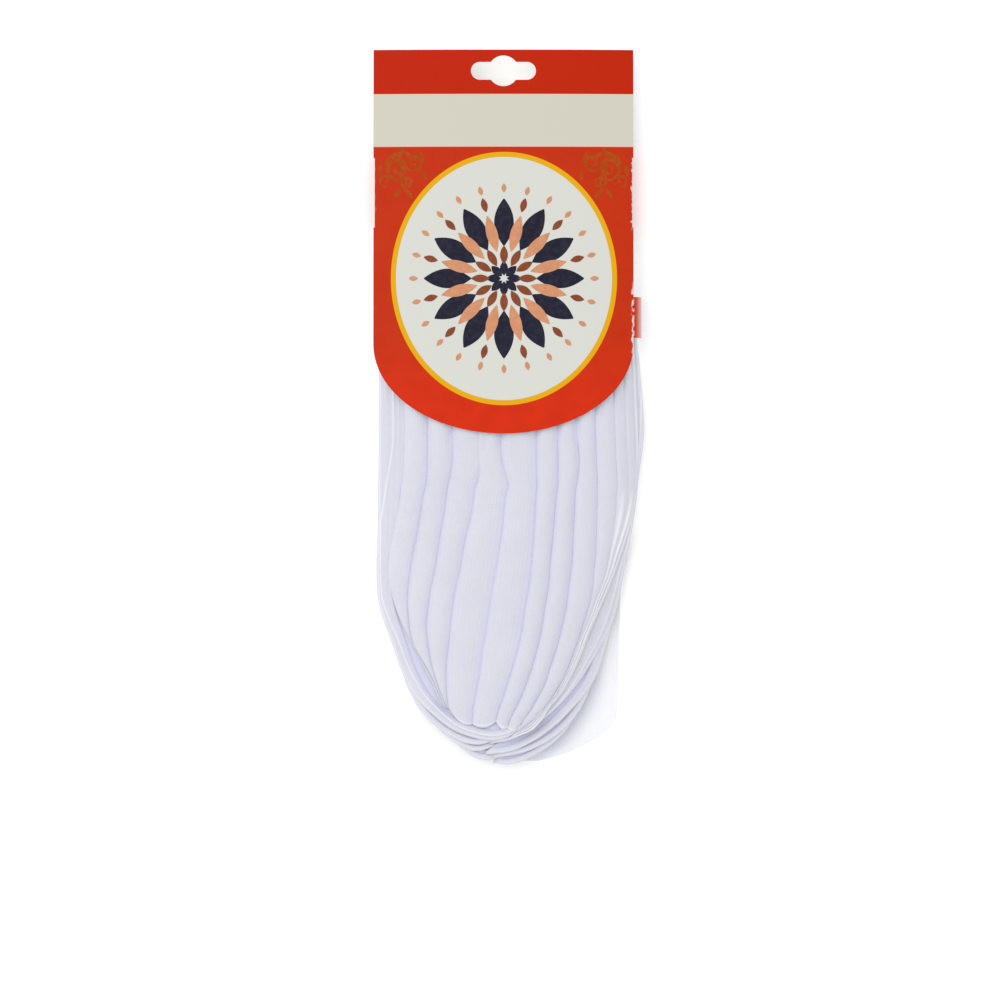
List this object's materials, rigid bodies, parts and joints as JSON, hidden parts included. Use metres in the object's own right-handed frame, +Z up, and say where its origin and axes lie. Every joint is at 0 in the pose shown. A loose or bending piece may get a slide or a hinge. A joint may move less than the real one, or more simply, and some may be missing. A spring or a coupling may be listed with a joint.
{
  "type": "pleated turban on a header card",
  "caption": "White pleated stretch turban with a twist front, lying folded flat and held by a red header card with a hanging slot and curved lower edge.",
  "frame": {"origin": "middle of the whole outline in plan, on the surface that the turban and its card lie on", "axes": "+Y along the turban towards its closed end and the hanging slot, +X to the right seen from above, +Z up out of the pleated front"},
  "size_m": [0.1324, 0.3494, 0.0225],
  "materials": {
    "jersey_crown": "matt knitted stretch jersey, bluish white",
    "jersey_fold": "matt knitted stretch jersey, bluish white",
    "jersey_plain": "matt plain jersey, bluish white",
    "printed_card": "satin printed card, red with a cream band"
  },
  "bodies": {
    "root": {"crown": "jersey_crown", "lip_fold": "jersey_fold", "right_fold_0": "jersey_fold", "right_fold_1": "jersey_fold", "right_fold_2": "jersey_fold", "right_fold_3": "jersey_fold", "left_fold_2": "jersey_fold", "left_fold_3": "jersey_fold", "left_fold_4": "jersey_fold", "back_panel": "jersey_plain", "header_card": "printed_card"}
  },
  "joints": []
}
